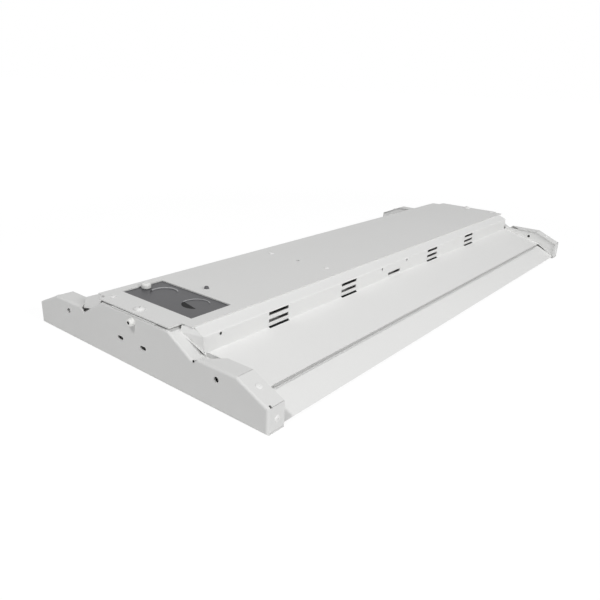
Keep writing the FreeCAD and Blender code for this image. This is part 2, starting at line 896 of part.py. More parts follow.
bushing_disc = rod("BushingDisc", "y", "0", f"{front_y} - bushing_length", "bushing_height",
                   "bushing_diameter", "bushing_length")
bushing_stem = hidden_rod("BushingStem", "y", "0", f"{front_y} - bushing_length / 2",
                          "bushing_height", "small_shank_diameter - fit_gap",
                          "bushing_length / 2 + 3 * skin")
bushing_blank = fused("BushingBlank", [bushing_disc, bushing_stem])
bushing_slot = block(
    "BushingSlot",
    "-bushing_slot / 2", f"{front_y} - bushing_length - skin", "bushing_height - bushing_diameter",
    "bushing_slot", "bushing_slot_depth + skin", "2 * bushing_diameter",
)
bushing = finished(cut("Bushing", bushing_blank, [bushing_slot]), "end_bushing_front")
turned("end_bushing_rear", bushing)

# Tray that closes the channel from below and laps under both wings.

tray_corner = f"wall_half_width - skin * tan({wing_angle} / 2)"
tray_edge = wing_point("tray_lap", "skin")
tray = folded(
    "Tray",
    [
        (f"-({tray_edge[0]})", tray_edge[1]),
        (f"-({tray_corner})", tray_top),
        (tray_corner, tray_top),
        tray_edge,
    ],
    inner_length,
)
driver_start = f"{strap_y} + strap_width / 2 + driver_foot"
foot_places = [
    f"{driver_start} + driver_foot / 2",
    f"{driver_start} + driver_foot + driver_length + driver_foot / 2",
]
ground_y = f"{front_y} + ground_inset"
tray_holes = [
    hidden_rod("TrayScrewHole", "z", "0", place, f"{tray_top} - 2 * skin", "small_shank_diameter",
               through)
    for place in (*foot_places, ground_y)
]
finished(cut("TrayDrilled", tray, tray_holes), "led_tray")

# LED boards under both wings and the packages on them.

board_corner = wing_point("board_start", "skin + board_thickness")
board_right = block(
    "BoardRight", board_corner[0], "-board_length / 2", board_corner[1],
    "board_width", "board_length", "board_thickness",
)
board_right.Placement.Rotation = FreeCAD.Rotation(along, value(wing_angle))
bind(board_right, Placement__Rotation__Angle=wing_angle)
finished(board_right, "led_board_right")
finished(mirrored("BoardLeft", board_right, across), "led_board_left")


def grouped(label, solids):
    """Small pieces of one kind as a group of separate solids."""
    group = doc.addObject("Part::Feature", label)
    group.Shape = Part.makeCompound(solids)
    return finished(group, label)


def point_at(x, y, z):
    return FreeCAD.Vector(value(x), value(y), value(z))


packages = []
led_size = value("led_size")
led_count = int(value("board_length") // value("led_pitch"))
for row in (-1, 1):
    row_x, row_z = wing_point(
        f"board_start + board_width / 2 + {row} * led_row_offset", "skin + board_thickness + led_thickness"
    )
    for index in range(led_count):
        package = Part.makeBox(
            led_size, led_size, value("led_thickness"), FreeCAD.Vector(-led_size / 2, -led_size / 2, 0)
        )
        package.rotate(FreeCAD.Vector(), along, value(wing_angle))
        package.translate(point_at(row_x, f"({index} - ({led_count} - 1) / 2) * led_pitch", row_z))
        packages.append(package)
        packages.append(package.mirror(FreeCAD.Vector(), across))
grouped("led_packages", packages)

# Lens: one frosted panel that rests on the lips of both rails.

lens = doc.addObject("PartDesign::Body", "Lens")
lens_outline = body_sketch(lens, "LensOutline", "XY_Plane", "rail_edge_height + skin")
lens_end = f"{inner_length} / 2"
rail_angle = f"atan(({rail_start[1]} - rail_edge_height) / ({rail_x} - ({rail_start[0]})))"
lens_side = (
    f"({rail_x} - (skin + lens_thickness) / tan({rail_angle}) - skin / sin({rail_angle}) - fit_gap)"
)
add_lines(
    lens_outline,
    [
        (f"-{lens_side}", f"-{lens_end}"),
        (lens_side, f"-{lens_end}"),
        (lens_side, lens_end),
        (f"-{lens_side}", lens_end),
    ],
    closed=True,
)
pad(lens, lens_outline, "lens_thickness")
finished(lens, "lens_panel")

# Driver inside the channel: a case on a base whose feet are screwed to the tray.

driver_base = doc.addObject("PartDesign::Body", "DriverBase")
base_outline = body_sketch(driver_base, "BaseOutline", "XY_Plane", tray_top)
driver_end = f"{driver_start} + driver_length + 2 * driver_foot"
add_lines(
    base_outline,
    [
        ("-driver_width / 2", driver_start),
        ("driver_width / 2", driver_start),
        ("driver_width / 2", driver_end),
        ("-driver_width / 2", driver_end),
    ],
    closed=True,
)
pad(driver_base, base_outline, "driver_foot_thickness")
foot_holes = [
    hidden_rod("FootHole", "z", "0", place, f"{tray_top} - driver_foot_thickness",
               "small_shank_diameter", "3 * driver_foot_thickness")
    for place in foot_places
]
finished(cut("DriverBaseDrilled", driver_base, foot_holes), "driver_base")

driver_case = doc.addObject("PartDesign::Body", "DriverCase")
case_outline = body_sketch(driver_case, "CaseOutline", "XY_Plane", f"{tray_top} + driver_foot_thickness")
case_start = f"{driver_start} + driver_foot"
add_lines(
    case_outline,
    [
        ("-driver_width / 2", case_start),
        ("driver_width / 2", case_start),
        ("driver_width / 2", f"{case_start} + driver_length"),
        ("-driver_width / 2", f"{case_start} + driver_length"),
    ],
    closed=True,
)
case_block = pad(driver_case, case_outline, "driver_height - driver_foot_thickness")
doc.recompute()
case_top = value("driver_height") + value(tray_top)
case_round = driver_case.newObject("PartDesign::Fillet", "CaseRound")
case_round.Base = (
    case_block,
    [
        f"Edge{index}"
        for index, edge in enumerate(case_block.Shape.Edges, start=1)
        if abs(edge.BoundBox.ZMin - case_top) < same_place
    ],
)
bind(case_round, Radius="bend_radius")
finished(driver_case, "driver_case")

# Terminal block near the access window and the leads from it to the driver.

terminal_y = f"{front_y} + terminal_inset"
terminal_body = block(
    "TerminalBody",
    "-terminal_width / 2", terminal_y, tray_top,
    "terminal_width", "terminal_length", "terminal_height",
)
terminal_wells = []
well_size = "(lead_spacing / 2)"
entry_size = "(lead_diameter + fit_gap)"
for pole in (-1, 0, 1):
    pole_x = f"{pole} * lead_spacing"
    terminal_wells += [
        block(
            "TerminalWell",
            f"{pole_x} - {well_size} / 2", f"{terminal_y} + terminal_length / 2 - {well_size} / 2",
            f"{tray_top} + terminal_height / 2", well_size, well_size, "terminal_height",
        ),
        block(
            "TerminalEntry",
            f"{pole_x} - {entry_size} / 2", f"{terminal_y} - skin", f"lead_height - {entry_size} / 2",
            entry_size, "terminal_length / 2", entry_size,
        ),
    ]
finished(cut("TerminalBlock", terminal_body, terminal_wells), "terminal_block")

leads = [
    hidden_rod("SupplyLead", "y", f"{pole} * lead_spacing", f"{terminal_y} + terminal_length",
               "lead_height", "lead_diameter", f"({case_start}) - ({terminal_y} + terminal_length)")
    for pole in (-1, 0, 1)
]
finished(compound("SupplyLeads", leads), "supply_leads")


# A head's upper face against its foot, and the arms of a cross recess against the head.
head_taper = 0.6
recess_reach = 0.5
recess_width = 0.12
recess_depth = 0.5
head_sides = 20
bolt_sides = 6


def polygon(sides, diameter, height):
    corner = FreeCAD.Vector(diameter / 2, 0, height)
    turns = [FreeCAD.Rotation(upward, 360 * side / sides) for side in range(sides + 1)]
    return Part.makePolygon([turn.multVec(corner) for turn in turns])


def between(sides, lower_diameter, upper_diameter, bottom, height):
    """A solid between two regular outlines, one above the other."""
    outlines = [polygon(sides, lower_diameter, bottom), polygon(sides, upper_diameter, bottom + height)]
    return Part.makeLoft(outlines, True, True)


def with_shank(head, diameter, length):
    """A fastener whose head stands on Z = 0 and whose shank points down."""
    return head.fuse(between(hidden_sides, diameter, diameter, -length, length))


def tapered_head(diameter, height):
    return between(head_sides, diameter, diameter * head_taper, 0, height)


def cross_head(diameter, height):
    """The same with a crossed recess."""
    head = tapered_head(diameter, height)
    reach, width = diameter * recess_reach, diameter * recess_width
    for size_x, size_y in ((reach, width), (width, reach)):
        corner = FreeCAD.Vector(-size_x / 2, -size_y / 2, height * recess_depth)
        head = head.cut(Part.makeBox(size_x, size_y, height, corner))
    return head


def set_at(shape, place, direction):
    copy = shape.copy()
    copy.Placement = FreeCAD.Placement(place, FreeCAD.Rotation(upward, direction))
    return copy


def opposite(shape):
    """The same fastener at the far end of the fixture."""
    copy = shape.copy()
    copy.rotate(FreeCAD.Vector(), upward, 180)
    return copy


small_shank = value("small_shank_diameter - fit_gap")
screw_length = value("screw_length")
small_diameter, small_height = value("small_head_diameter"), value("small_head_height")
large = with_shank(
    cross_head(value("screw_head_diameter"), value("screw_head_height")),
    value("screw_shank_diameter - fit_gap"), screw_length,
)
small = with_shank(cross_head(small_diameter, small_height), small_shank, screw_length)
bolt_head = between(bolt_sides, small_diameter, small_diameter, 0, small_height)
bolt = with_shank(bolt_head, small_shank, screw_length)
rivet_head = tapered_head(value("rivet_head_diameter"), value("rivet_head_height"))
rivet = with_shank(rivet_head, small_shank, value("rivet_length"))
long_rivet = with_shank(rivet_head, small_shank, value("cover_rivet_length"))

cover_screw = set_at(large, point_at("0", f"{front_y} + cover_screw_inset", "lip_height + skin"), upward)
grouped("cover_screws", [cover_screw, opposite(cover_screw)])

cover_rivet = set_at(
    long_rivet,
    point_at("-cover_rivet_offset", f"{front_y} + cover_rivet_inset", "lip_height + skin"),
    upward,
)
grouped("cover_rivets", [cover_rivet, opposite(cover_rivet)])

strap_rivets = [
    set_at(rivet, point_at(f"{side} * strap_rivet_offset", strap_y, "lip_height + skin"), upward)
    for side in (-1, 1)
]
grouped("strap_rivets", strap_rivets)

end_screws = [
    set_at(small, point_at(f"{side} * end_screw_offset", wall_y, "end_screw_height"), -along)
    for side in (-1, 1)
]
grouped("end_screws", end_screws + [opposite(screw) for screw in end_screws])

side_rivets = [
    set_at(rivet, point_at(f"{side} * overall_width / 2", f"{front_y} + rivet_inset", "side_rivet_height"),
           across * side)
    for side in (-1, 1)
]
grouped("side_rivets", side_rivets + [opposite(screw) for screw in side_rivets])

slope_rivets = [
    set_at(
        rivet,
        point_at(f"{side} * slope_rivet_offset", f"{front_y} + rivet_inset", slope_height),
        FreeCAD.Vector(side * value(f"sin({slope_angle})"), 0, value(f"cos({slope_angle})")),
    )
    for side in (-1, 1)
]
grouped("slope_rivets", slope_rivets + [opposite(screw) for screw in slope_rivets])

driver_screws = [
    set_at(bolt, point_at("0", place, f"{tray_top} + driver_foot_thickness"), upward)
    for place in foot_places
]
grouped("driver_screws", driver_screws)
grouped("ground_screw", [set_at(bolt, point_at("0", ground_y, tray_top), upward)])

doc.recompute()
for item in doc.Objects:
    if {"Invalid", "Error"} & set(item.State):
        raise ValueError(f"{item.Label} did not build: {item.State}")
for item in nodes:
    if item.Shape.isNull() or not item.Shape.isValid():
        raise ValueError(f"{item.Label} has no valid shape")

os.makedirs("parts", exist_ok=True)
for item in nodes:
    item.Shape.exportStep(f"parts/{item.Label}.step")
    print(f"{item.Label}: {len(item.Shape.Solids)} solids, {item.Shape.Volume:.1f} mm3")
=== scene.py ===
import json
import math

import bmesh
import bpy
from mathutils import Matrix, Vector


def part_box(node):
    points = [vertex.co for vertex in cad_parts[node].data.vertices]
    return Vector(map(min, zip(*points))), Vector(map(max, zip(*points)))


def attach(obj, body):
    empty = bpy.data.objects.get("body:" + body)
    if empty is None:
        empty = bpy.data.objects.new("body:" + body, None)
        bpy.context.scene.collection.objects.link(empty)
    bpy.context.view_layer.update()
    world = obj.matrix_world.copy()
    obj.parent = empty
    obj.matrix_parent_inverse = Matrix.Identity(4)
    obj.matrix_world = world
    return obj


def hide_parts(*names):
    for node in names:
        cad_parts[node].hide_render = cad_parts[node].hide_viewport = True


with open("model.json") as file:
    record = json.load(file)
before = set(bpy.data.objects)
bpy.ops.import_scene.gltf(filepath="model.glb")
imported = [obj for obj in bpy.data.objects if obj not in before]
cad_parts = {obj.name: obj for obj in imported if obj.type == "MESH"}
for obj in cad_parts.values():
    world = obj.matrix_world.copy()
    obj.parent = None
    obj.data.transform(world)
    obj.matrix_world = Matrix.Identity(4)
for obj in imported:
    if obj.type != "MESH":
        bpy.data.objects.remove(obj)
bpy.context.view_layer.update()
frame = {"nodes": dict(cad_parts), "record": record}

print("frame loaded:", len(frame["nodes"]), "pieces")

mm = 0.001  # lengths are written in millimetres times this
creaseAngle = 35  # degrees past which an edge stays sharp
sides = {"right": 1, "left": -1}  # where each side of the fixture lies along x
ends = {"front": -1, "rear": 1}  # and each end along y
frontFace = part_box("end_plate_front")[0][1]
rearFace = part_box("end_plate_rear")[1][1]
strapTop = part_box("cover_strap")[1][2]


# Camera, at the spot from which the photograph looks down along the fixture

view = {
    "spot": (344.5, -538.4, 210.1),  # millimetres in the fixture's frame
    "yaw": 38.12,  # degrees
    "pitch": -20.28,
    "roll": 2.45,
    "focalPixels": 583.9,
    "imagePixels": 600,
    "sensor": 36,  # millimetres
}


def linkObject(name, data):
    thing = bpy.data.objects.new(name, data)
    bpy.context.scene.collection.objects.link(thing)
    return thing


def addCamera():
    camera = bpy.data.cameras.new("photoCamera")
    camera.sensor_width = view["sensor"]
    camera.lens = view["focalPixels"] / view["imagePixels"] * view["sensor"]
    holder = linkObject("photoCamera", camera)
    turn = Matrix.Rotation(math.radians(view["yaw"]), 4, "Z")
    turn = turn @ Matrix.Rotation(math.radians(90 + view["pitch"]), 4, "X")
    turn = turn @ Matrix.Rotation(math.radians(view["roll"]), 4, "Z")
    holder.matrix_world = Matrix.Translation(Vector(view["spot"]) * mm) @ turn
    bpy.context.scene.camera = holder


addCamera()
print("camera set")


# Nodes that materials and shapes share


def linear(hexColour):
    # an sRGB hex colour as the linear colour that shaders work in
    parts = [int(hexColour[i:i + 2], 16) / 255 for i in (1, 3, 5)]
    return [p / 12.92 if p <= 0.04045 else ((p + 0.055) / 1.055) ** 2.4 for p in parts] + [1.0]


def addNode(tree, kind, settings=None, **inputs):
    # settings are the node's own properties; an input goes by its name, or by i and its number,
    # and takes a value or the socket to link from
    node = tree.nodes.new(kind)
    for name, setting in (settings or {}).items():
        setattr(node, name, setting)
    for name, given in inputs.items():
        socket = node.inputs[int(name[1:]) if name[1:].isdigit() else name.replace("_", " ")]
        if isinstance(given, bpy.types.NodeSocket):
            tree.links.new(given, socket)
        else:
            socket.default_value = given
    return node


def maths(tree, operation, *values, clamp=False):
    given = {f"i{index}": value for index, value in enumerate(values)}
    settings = {"operation": operation, "use_clamp": clamp}
    return addNode(tree, "ShaderNodeMath", settings, **given).outputs[0]


def ranged(tree, share, low, high, start=0.0, end=1.0):
    # low where the share is at its start, high where it is at its end
    return addNode(tree, "ShaderNodeMapRange", Value=share, From_Min=start, From_Max=end,
                   To_Min=low, To_Max=high).outputs[0]


def vector(tree, **parts):
    return addNode(tree, "ShaderNodeCombineXYZ", **parts).outputs[0]


def vectorLength(tree, given):
    return addNode(tree, "ShaderNodeVectorMath", {"operation": "LENGTH"},
                   i0=given).outputs["Value"]


def objectPlace(tree):
    return addNode(tree, "ShaderNodeTexCoord").outputs["Object"]


def noise(tree, width, detail, stretch=(1.0, 1.0, 1.0)):
    # a random pattern whose patches are as wide as given, in metres
    place = addNode(tree, "ShaderNodeMapping", Vector=objectPlace(tree), Scale=stretch)
    return addNode(tree, "ShaderNodeTexNoise", Vector=place.outputs[0], Scale=1 / width,
                   Detail=detail).outputs["Fac"]


def tinted(tree, share, shade, colour):
    return addNode(tree, "ShaderNodeMix", {"data_type": "RGBA"}, Factor=share,
                   i6=linear(shade), i7=linear(colour)).outputs[2]


def bumped(tree, height, depth):
    return addNode(tree, "ShaderNodeBump", Height=height, Distance=depth, Strength=1.0).outputs[0]


def newMaterial(name):
    material = bpy.data.materials.new(name)
    material.use_nodes = True
    tree = material.node_tree
    tree.nodes.clear()
    return material, tree


def closeMaterial(tree, shader):
    addNode(tree, "ShaderNodeOutputMaterial", Surface=shader.outputs[0])


# Materials

coat = {
    "sheet": ("#E5E5E4", "#E2E2E1"),  # colour and shade of the powder on each kind of piece; the end plates and cover are set a little darker than the sheet
    "plate": ("#DCDCDB", "#D9D9D8"),
    "cover": ("#DEDEDD", "#DBDBDA"),
    "roughness": (0.48, 0.58),
    "gloss": 0.3,
    "refraction": 1.5,
    "ripple": 2.2 * mm,  # width of one ripple of the cured powder
    "rippleDepth": 0.006 * mm,
    "cloud": 90 * mm,  # width of the patches between colour and shade
}


def powderCoatedSteel(name, pieceKind):
    # Powder cured in an oven: satin white, with a faint ripple that softens reflections.
    material, tree = newMaterial(name)
    colour, shade = coat[pieceKind]
    cloud = noise(tree, coat["cloud"], detail=2.0)
    ripple = noise(tree, coat["ripple"], detail=1.0)
    shader = addNode(tree, "ShaderNodeBsdfPrincipled",
                     Base_Color=tinted(tree, cloud, shade, colour),
                     Roughness=ranged(tree, ripple, *coat["roughness"]),
                     Normal=bumped(tree, ripple, coat["rippleDepth"]),
                     IOR=coat["refraction"], Specular_IOR_Level=coat["gloss"])
    closeMaterial(tree, shader)
    return material


mouldedSpread = 0.06  # how far the grain of the mould changes the roughness


def mouldedPlastic(name, colour, shade, roughness, grain, depth, refraction=1.5, gloss=0.5):
    # Injection moulded: one colour all through, with the fine grain of the mould's wall.
    material, tree = newMaterial(name)
    pits = noise(tree, grain, detail=3.0)
    rough = ranged(tree, pits, roughness - mouldedSpread, roughness + mouldedSpread)
    shader = addNode(tree, "ShaderNodeBsdfPrincipled", Roughness=rough,
                     Base_Color=tinted(tree, pits, shade, colour),
                     Normal=bumped(tree, pits, depth),
                     IOR=refraction, Specular_IOR_Level=gloss)
    closeMaterial(tree, shader)
    return material


plated = {
    "spread": 0.08,  # how far the streaks change the roughness
    "stretch": (1.0, 0.04, 1.0),  # the streaks run along the fixture
}


def platedMetal(name, colour, shade, roughness, streak):
    # Drawn or plated metal: fine streaks along the length break up its reflections.
    material, tree = newMaterial(name)
    streaks = noise(tree, streak, detail=4.0, stretch=plated["stretch"])
    rough = ranged(tree, streaks, roughness - plated["spread"], roughness + plated["spread"])
    shader = addNode(tree, "ShaderNodeBsdfPrincipled", Roughness=rough, Metallic=1.0,
                     Base_Color=tinted(tree, streaks, shade, colour))
    closeMaterial(tree, shader)
    return material


acrylic = {
    "colour": "#F0F0EE",
    "shade": "#EAEBE9",
    "roughness": 0.55,
    "clearness": 0.15,
    "refraction": 1.49,
    "etch": 0.8 * mm,  # width of one pit of the etched face
    "etchDepth": 0.01 * mm,
}


def frostedAcrylic():
    # Diffuser sheet: milky all through, with an etched face that hides the boards behind it.
    material, tree = newMaterial("frosted acrylic")
    etch = noise(tree, acrylic["etch"], detail=2.0)
    shader = addNode(tree, "ShaderNodeBsdfPrincipled", Roughness=acrylic["roughness"],
                     Base_Color=tinted(tree, etch, acrylic["shade"], acrylic["colour"]),
                     Normal=bumped(tree, etch, acrylic["etchDepth"]),
                     IOR=acrylic["refraction"], Transmission_Weight=acrylic["clearness"])
    closeMaterial(tree, shader)
    return material


finishes = {
    "white_steel": powderCoatedSteel("powder-coated steel", "sheet"),
    # dark satin plate that stands out from the white sheet round it
    "grey_plastic": mouldedPlastic("moulded grey polycarbonate", "#47474A", "#434345",
                                   roughness=0.4, grain=0.9 * mm, depth=0.006 * mm,
                                   refraction=1.58, gloss=0.28),
    # softer and a little warmer than the steel
    "white_plastic": mouldedPlastic("white nylon", "#E6E6E4", "#E1E1DF", roughness=0.42,
                                    grain=1.5 * mm, depth=0.004 * mm, refraction=1.53,
                                    gloss=0.35),
    "lens_plastic": frostedAcrylic(),
    # shiny lacquer of a circuit board
    "board": mouldedPlastic("white solder resist", "#EEEEEA", "#E4E4DF", roughness=0.3,
                            grain=4 * mm, depth=0.004 * mm),
    # yellow fill of the light-emitting packages
    "led_package": mouldedPlastic("phosphor silicone", "#E8C53A", "#DDB52E", roughness=0.3,
                                  grain=0.6 * mm, depth=0.01 * mm),
    # dark satin case with a brushed look
    "driver_metal": platedMetal("anodised aluminium", "#55565A", "#4B4C50", roughness=0.4,
                                streak=0.7 * mm),
    # bright bluish fixings and base plate
    "zinc_steel": platedMetal("zinc-plated steel", "#C8CACD", "#AEB1B6", roughness=0.32,
                              streak=1.2 * mm),
    # ivory body of the terminals
    "terminal_plastic": mouldedPlastic("polyamide terminal", "#D6D5CB", "#CCCBC1",
                                       roughness=0.4, grain=1.2 * mm, depth=0.01 * mm),
    # black skin of the leads
    "lead_insulation": mouldedPlastic("PVC insulation", "#2A2A2B", "#222223", roughness=0.4,
                                      grain=1.5 * mm, depth=0.01 * mm),
}

plateCoat = powderCoatedSteel("powder-coated end plate", "plate")
coverCoat = powderCoatedSteel("powder-coated cover", "cover")
# dull grommet in the cover
darkRubber = mouldedPlastic("grey rubber", "#68686A", "#5F5F61", roughness=0.6,
                            grain=0.5 * mm, depth=0.01 * mm, gloss=0.3)
# painted shade: a soft grey line for the shadow in the seam between wing and rail
seamShadeGrey = mouldedPlastic("painted seam shade", "#B9B9B8", "#ADADAC", roughness=0.7,
                            grain=0.8 * mm, depth=0.03 * mm, gloss=0.2)
# painted highlight: pale plastic for the light caught by the rim of each knockout
paintedHighlightBead = mouldedPlastic("polycarbonate with painted highlight", "#A4A4A6", "#98989A",
                             roughness=0.4, grain=0.5 * mm, depth=0.004 * mm)
# painted shade: flat black for the shadow in openings too fine to look into
paintedShadeBlack = mouldedPlastic("painted shade black", "#1E1E1F", "#191919", roughness=0.7,
                          grain=0.5 * mm, depth=0.01 * mm, gloss=0.15)

slotOf = {entry["node"]: entry["material_slot"] for entry in frame["record"]["subparts"]}
ownCoat = {"end_plate_front": plateCoat, "end_plate_rear": plateCoat, "top_cover": coverCoat}
for node, piece in frame["nodes"].items():
    piece.data.materials.clear()
    piece.data.materials.append(ownCoat.get(node, finishes[slotOf[node]]))
print("finishes set")


# How pieces are made and handed to the frame


def setOn(piece):
    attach(piece, "root")


def standFor(piece, node):
    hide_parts(node)
    setOn(piece)


def smoothPiece(piece):
    piece.data.shade_smooth()
    piece.data.set_sharp_from_angle(angle=math.radians(creaseAngle))


def netPiece(name, net, finish):
    # the net as a piece whose faces look outwards
    bmesh.ops.recalc_face_normals(net, faces=net.faces)
    mesh = bpy.data.meshes.new(name)
    net.to_mesh(mesh)
    net.free()
    mesh.materials.append(finish)
    return linkObject(name, mesh)


def facedPiece(name, corners, faces, finish):
    net = bmesh.new()
    verts = [net.verts.new(corner) for corner in corners]
    for face in faces:
        net.faces.new([verts[i] for i in face])
    setOn(netPiece(name, net, finish))


def ringFaces(count):
    # the faces between two loops of as many corners each
    return [(i, count + i, count + (i + 1) % count, (i + 1) % count) for i in range(count)]


def slab(name, outline, offset, finish):
    # an outline, its copy at the offset, and the faces between them
    count = len(outline)
    shifts = (Vector(), Vector(offset))
    corners = [Vector(corner) + shift for shift in shifts for corner in outline]
    caps = [tuple(range(count)), tuple(range(2 * count - 1, count - 1, -1))]
    facedPiece(name, corners, caps + ringFaces(count), finish)


def prism(name, outline, start, end, finish, slot):
    # an outline in x and z, drawn out along the length
    slab(name, [(x, start, z) for x, z in outline], (0, end - start, 0), finish)


def settle(piece, modifier):
    # the modifier's result as a plain mesh, with the modifier taken off again
    bpy.context.view_layer.update()
    evaluated = piece.evaluated_get(bpy.context.evaluated_depsgraph_get())
    solid = bpy.data.meshes.new_from_object(evaluated)
    piece.modifiers.remove(modifier)
    piece.data = solid


def pointMesh(name, places, axes):
    # one loose corner for each place, with the direction in which the piece there looks
    mesh = bpy.data.meshes.new(name)
    mesh.from_pydata([tuple(place) for place in places], [], [])
    facing = mesh.attributes.new("facing", "FLOAT_VECTOR", "POINT")
    for index, axis in enumerate(axes):
        facing.data[index].vector = axis
    return linkObject(name, mesh)


def newTree(name, **inputs):
    # inputs have words joined by _ and the kind of their socket
    tree = bpy.data.node_groups.new(name, "GeometryNodeTree")
    named = {"Geometry": "Geometry"} | inputs
    for label, kind in named.items():
        tree.interface.new_socket(label.replace("_", " "), in_out="INPUT",
                                  socket_type=f"NodeSocket{kind}")
    tree.interface.new_socket("Geometry", in_out="OUTPUT", socket_type="NodeSocketGeometry")
    return tree, addNode(tree, "NodeGroupInput").outputs


def joined(tree, *parts):
    whole = addNode(tree, "GeometryNodeJoinGeometry")
    for part in parts:
        tree.links.new(part, whole.inputs[0])
    return whole.outputs[0]


def without(tree, body, *cutters):
    # the manifold solver, because the exact one can lose the heads of screws
    cut = addNode(tree, "GeometryNodeMeshBoolean",
                  {"operation": "DIFFERENCE", "solver": "MANIFOLD"}, Mesh_1=body)
    for cutter in cutters:
        tree.links.new(cutter, cut.inputs["Mesh 2"])
    return cut.outputs[0]


def shifted(tree, geometry, offset):
    return addNode(tree, "GeometryNodeTransform", Geometry=geometry,
                   Translation=offset).outputs[0]


def facingTurn(tree):
    # the turn that makes a piece look the way its point says
    facing = addNode(tree, "GeometryNodeInputNamedAttribute", {"data_type": "FLOAT_VECTOR"},
                     Name="facing")
    return addNode(tree, "FunctionNodeAlignRotationToVector", {"axis": "Z"},
                   Vector=facing.outputs[0]).outputs[0]


def sharpEdges(tree, geometry):
    # edges that turn by more than the crease angle stay sharp, and the rest are smooth
    angle = addNode(tree, "GeometryNodeInputMeshEdgeAngle").outputs["Unsigned Angle"]
    sharp = addNode(tree, "FunctionNodeCompare",
                    {"data_type": "FLOAT", "operation": "GREATER_THAN"},
                    A=angle, B=math.radians(creaseAngle))
    marked = addNode(tree, "GeometryNodeStoreNamedAttribute",
                     {"data_type": "BOOLEAN", "domain": "EDGE"},
                     Geometry=geometry, Name="sharp_edge", Value=sharp.outputs[0])
    return addNode(tree, "GeometryNodeSetShadeSmooth", Geometry=marked.outputs[0]).outputs[0]


def closeTree(tree, geometry, material, *others):
    # others are pairs of a selection and its own material
    last = addNode(tree, "GeometryNodeRealizeInstances", Geometry=geometry)
    for chosen, finish in ((True, material), *others):
        last = addNode(tree, "GeometryNodeSetMaterial", Geometry=last.outputs[0],
                       Selection=chosen, Material=finish)
    addNode(tree, "NodeGroupOutput", i0=last.outputs[0])


def growMesh(piece, tree, given):
    nodes = piece.modifiers.new(tree.name, "NODES")
    nodes.node_group = tree
    for item in tree.interface.items_tree:
        if item.in_out == "INPUT" and item.name in given:
            nodes[item.identifier] = given[item.name]
    settle(piece, nodes)


# Fasteners: each head stands where the frame has one, and a tree of nodes gives it its form

fastener = {
    "ringCount": 10,  # rings from the rim of a head to its middle
    "domeSides": 40,
    "boltSides": 6,
    "shankSides": 16,
    "domeRim": 0.3,  # height of a head's rim, as a share of the head
    "boltRim": 0.85,
    "recessReach": 0.56,  # shares of the head's width
    "recessWidth": 0.13,
    "pinWidth": 0.3,
    "recessDepth": 0.5,  # share of the head's height
    "recessBlock": 2.0,  # height of the block that cuts a recess, in heads
    "recessFoot": 0.6,  # width of the block's foot and of its top, against its middle
    "recessTop": 1.4,
    "seed": 7,  # settles how far each screw is turned
    "weld": 0.002 * mm,  # corners nearer than this are one
    "tailShare": 0.97,  # corners this far out, as a share of the farthest, are the shank's end
    "rimShare": 0.9,  # corners this far from the axis, as a share of the widest, are the head's
    "endBand": 0.01 * mm,
}


def centreOf(corners):
    return sum(corners, Vector()) / len(corners)


def solidsOf(node):
    # the corners of each solid of a CAD node, whose loose triangles are merged in a copy
    net = bmesh.new()
    net.from_mesh(frame["nodes"][node].data)
    bmesh.ops.remove_doubles(net, verts=net.verts, dist=fastener["weld"])
    waiting = dict.fromkeys(net.verts)  # keeps its order, so each run gives the same sums
    solids = []
    while waiting:
        edge = [waiting.popitem()[0]]
        found = []
        while edge:
            vertex = edge.pop()
            found.append(vertex.co.copy())
            for link in vertex.link_edges:
                other = link.other_vert(vertex)
                if other in waiting:
                    del waiting[other]
                    edge.append(other)
        solids.append(found)
    net.free()
    return sorted(solids, key=lambda corners: tuple(round(v, 5) for v in centreOf(corners)))


def measureFastener(corners):
    # the shank's end lies farthest from the middle, which gives the axis and every size
    middle = centreOf(corners)
    reach = max((corner - middle).length for corner in corners)
    tail = [c for c in corners if (c - middle).length > fastener["tailShare"] * reach]
    axis = (middle - centreOf(tail)).normalized()
    heights = [(corner - middle).dot(axis) for corner in corners]
    radii = [(corner - middle - axis * height).length for corner, height in zip(corners, heights)]
    headRadius = max(radii)
    bottom = min(heights)
    measured = list(zip(heights, radii))
    seat = min(height for height, radius in measured if radius > fastener["rimShare"] * headRadius)
    shank = max(radius for height, radius in measured if height < bottom + fastener["endBand"])
    sizes = {
        "Head Width": 2 * headRadius, "Head Height": max(heights) - seat,
        "Shank Width": 2 * shank, "Shank Length": seat - bottom,
    }
    return middle + axis * seat, axis, sizes


def headShape(tree, sizes, sideCount):
    # a cylinder whose upper face is drawn into a dome, higher towards the middle
    radius = maths(tree, "DIVIDE", sizes["Head Width"], 2.0)
    blank = addNode(tree, "GeometryNodeMeshCylinder", {"fill_type": "TRIANGLE_FAN"},
                    Vertices=sideCount, Side_Segments=1, Fill_Segments=fastener["ringCount"],
                    Radius=radius, Depth=1.0)
    spot = addNode(tree, "GeometryNodeInputPosition").outputs[0]
    x, y, z = addNode(tree, "ShaderNodeSeparateXYZ", Vector=spot).outputs
    away = vectorLength(tree, vector(tree, X=x, Y=y))
    share = maths(tree, "DIVIDE", away, radius, clamp=True)
    rest = maths(tree, "SUBTRACT", 1.0, maths(tree, "MULTIPLY", share, share), clamp=True)
    rise = ranged(tree, maths(tree, "SQRT", rest), sizes["Rim"], 1.0)
    height = maths(tree, "MULTIPLY", rise, maths(tree, "ADD", z, 0.5))
    tall = maths(tree, "MULTIPLY", height, sizes["Head Height"])
    return addNode(tree, "GeometryNodeSetPosition", Geometry=blank.outputs["Mesh"],
                   Position=vector(tree, X=x, Y=y, Z=tall)).outputs[0]


